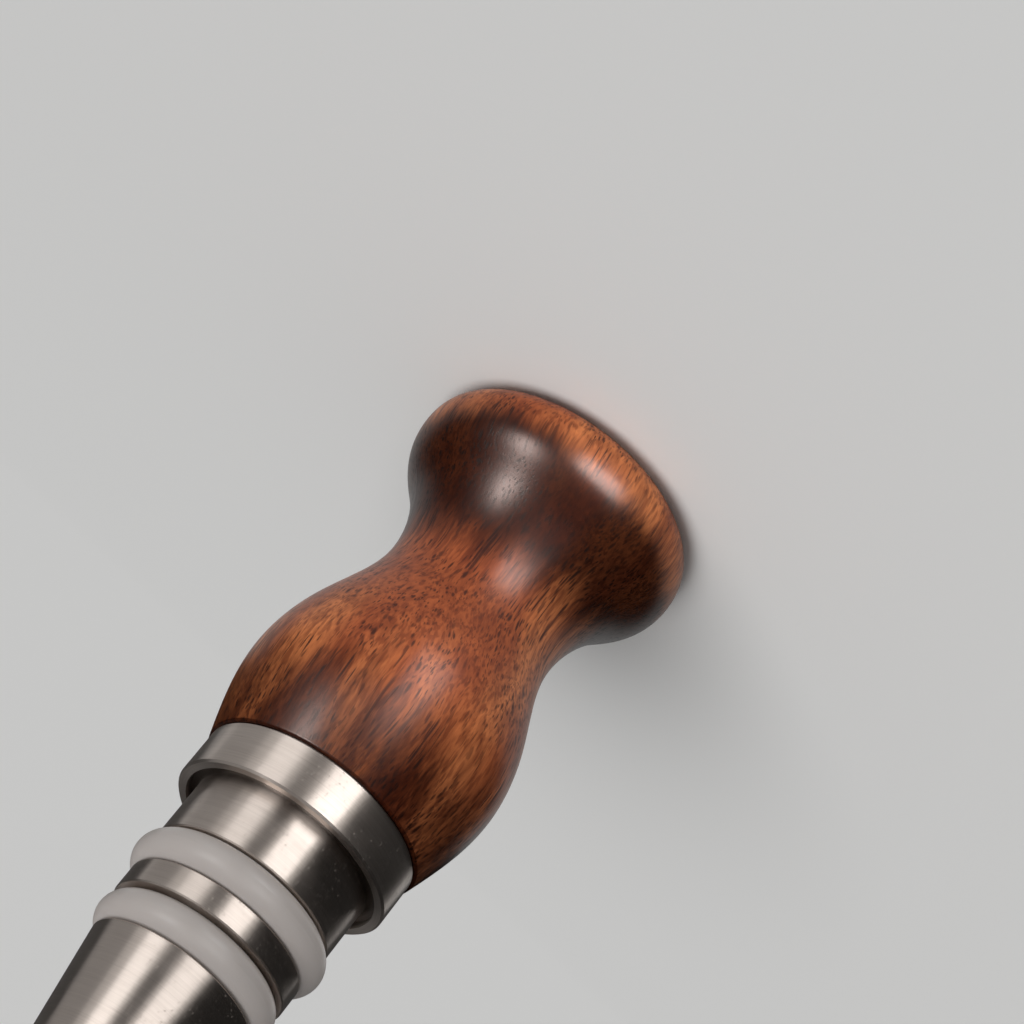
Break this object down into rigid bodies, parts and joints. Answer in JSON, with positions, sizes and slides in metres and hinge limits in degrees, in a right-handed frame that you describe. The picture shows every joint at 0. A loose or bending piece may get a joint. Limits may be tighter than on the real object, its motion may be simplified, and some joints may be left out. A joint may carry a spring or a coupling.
{
  "type": "bottle stopper",
  "caption": "Reusable bottle stopper: a turned wooden handle on a steel body with soft sealing rings, stored standing upside down on the crown of its head.",
  "frame": {"origin": "centre of the flat crown of the wooden head, which the stopper stands on", "axes": "+Z along the turning axis, from the wooden head to the steel tip; X and Y are any two directions across it"},
  "size_m": [0.0294, 0.0294, 0.0857],
  "materials": {
    "wood": "satin lacquer over dark reddish-brown grain",
    "steel": "finely turned, near polished",
    "stud_steel": "plain",
    "silicone": "milky, satin"
  },
  "bodies": {
    "root": {"wooden_handle": "wood", "steel_body": "steel", "threaded_stud": "stud_steel", "upper_seal_ring": "silicone", "lower_seal_ring": "silicone"}
  },
  "joints": []
}
